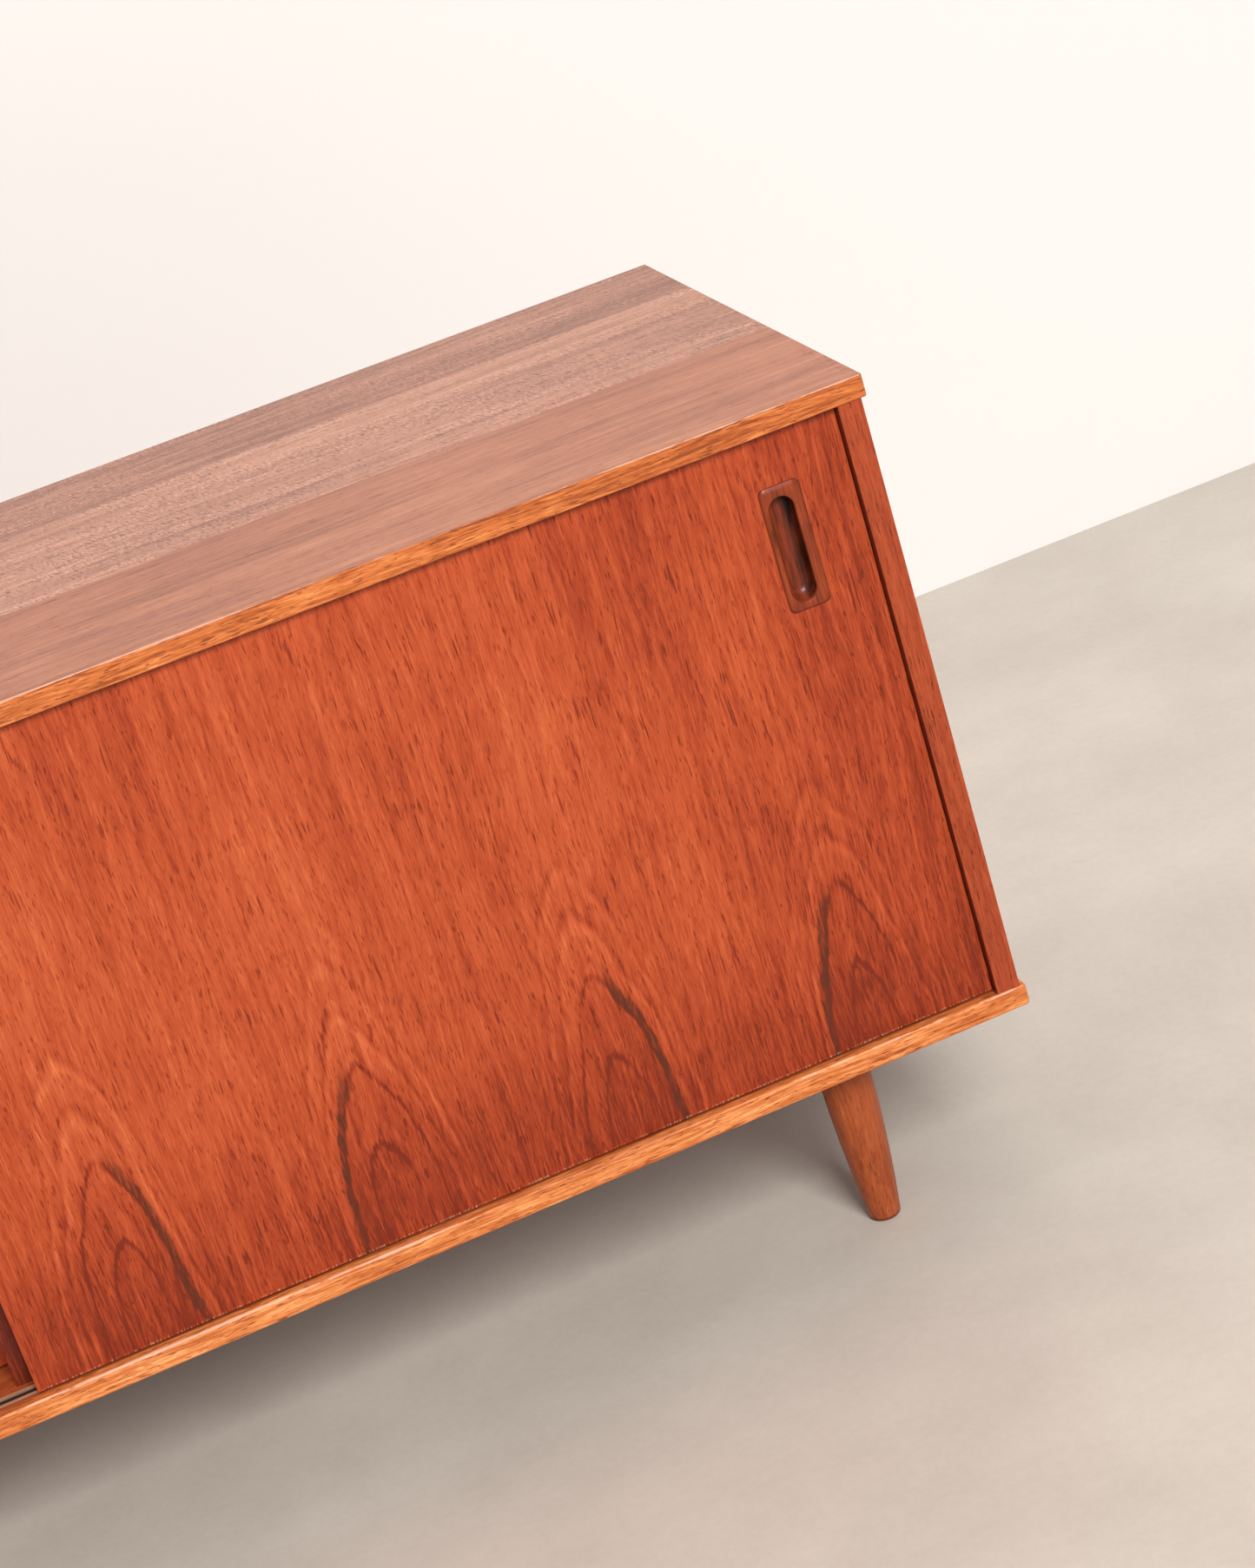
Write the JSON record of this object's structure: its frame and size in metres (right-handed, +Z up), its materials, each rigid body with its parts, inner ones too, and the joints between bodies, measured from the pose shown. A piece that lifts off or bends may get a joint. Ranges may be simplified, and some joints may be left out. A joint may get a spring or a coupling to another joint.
{
  "type": "sideboard",
  "caption": "Long low teak sideboard on turned legs, with sliding doors over the side bays and a bank of drawers between them.",
  "frame": {"origin": "on the floor, under the middle of the cabinet (bottom centre of the bounding box)", "axes": "+Z up, +X along the cabinet to the right as seen from the front, the front faces -Y"},
  "size_m": [2.29, 0.478, 0.65],
  "materials": {
    "top_veneer": "satin teak veneer, sun-faded",
    "teak_lipping": "satin solid teak",
    "side_veneer": "satin teak veneer",
    "door_veneer": "satin teak veneer, vertical grain",
    "drawer_veneer": "satin teak veneer, horizontal grain",
    "grip_wood": "lacquered dark hardwood",
    "leg_wood": "satin turned teak",
    "drawer_wood": "pale planed beech",
    "plywood": "thin gaboon plywood",
    "shelf_veneer": "satin teak veneer",
    "track_plastic": "satin beige plastic",
    "nylon": "matt nylon",
    "steel": "zinc plated",
    "brass": "satin"
  },
  "bodies": {
    "carcass": {"top_panel": "top_veneer", "top_front_lipping": "teak_lipping", "top_left_end_lipping": "teak_lipping", "top_right_end_lipping": "teak_lipping", "bottom_front_lipping": "teak_lipping", "bottom_left_end_lipping": "teak_lipping", "bottom_right_end_lipping": "teak_lipping", "bottom_panel": "side_veneer", "left_side_panel": "side_veneer", "left_divider": "side_veneer", "left_shelf": "shelf_veneer", "front_left_leg": "leg_wood", "rear_left_leg": "leg_wood", "right_side_panel": "side_veneer", "right_divider": "side_veneer", "right_shelf": "shelf_veneer", "front_right_leg": "leg_wood", "rear_right_leg": "leg_wood", "back_panel": "plywood", "door_track": "track_plastic", "shelf_pins": "brass", "leg_studs": "steel", "leg_inserts": "brass", "carcass_dowels": "drawer_wood", "back_screws": "steel", "drawer_runners": "drawer_wood"},
    "left_door": {"left_door_panel": "door_veneer", "left_door_inner_lipping": "door_veneer", "left_door_outer_lipping": "door_veneer", "left_door_grip": "grip_wood", "left_door_glides": "nylon"},
    "right_door": {"right_door_panel": "door_veneer", "right_door_inner_lipping": "door_veneer", "right_door_outer_lipping": "door_veneer", "right_door_grip": "grip_wood", "right_door_glides": "nylon"},
    "drawer_1": {"drawer_1_front": "drawer_veneer", "drawer_1_pull": "grip_wood", "drawer_1_left_side": "drawer_wood", "drawer_1_right_side": "drawer_wood", "drawer_1_back": "drawer_wood", "drawer_1_bottom": "plywood"},
    "drawer_2": {"drawer_2_front": "drawer_veneer", "drawer_2_pull": "grip_wood", "drawer_2_left_side": "drawer_wood", "drawer_2_right_side": "drawer_wood", "drawer_2_back": "drawer_wood", "drawer_2_bottom": "plywood"},
    "drawer_3": {"drawer_3_front": "drawer_veneer", "drawer_3_pull": "grip_wood", "drawer_3_left_side": "drawer_wood", "drawer_3_right_side": "drawer_wood", "drawer_3_back": "drawer_wood", "drawer_3_bottom": "plywood"},
    "drawer_4": {"drawer_4_front": "drawer_veneer", "drawer_4_pull": "grip_wood", "drawer_4_left_side": "drawer_wood", "drawer_4_right_side": "drawer_wood", "drawer_4_back": "drawer_wood", "drawer_4_bottom": "plywood"}
  },
  "joints": [
    {"name": "right_door_slide", "type": "slide", "parent": "carcass", "child": "right_door", "axis": [1, 0, 0], "range_m": [-0.38, 0]},
    {"name": "left_door_slide", "type": "slide", "parent": "carcass", "child": "left_door", "axis": [-1, 0, 0], "range_m": [-0.38, 0]},
    {"name": "drawer_1_slide", "type": "slide", "parent": "carcass", "child": "drawer_1", "axis": [0, -1, 0], "range_m": [0, 0.3]},
    {"name": "drawer_2_slide", "type": "slide", "parent": "carcass", "child": "drawer_2", "axis": [0, -1, 0], "range_m": [0, 0.3]},
    {"name": "drawer_3_slide", "type": "slide", "parent": "carcass", "child": "drawer_3", "axis": [0, -1, 0], "range_m": [0, 0.3]},
    {"name": "drawer_4_slide", "type": "slide", "parent": "carcass", "child": "drawer_4", "axis": [0, -1, 0], "range_m": [0, 0.3]}
  ]
}
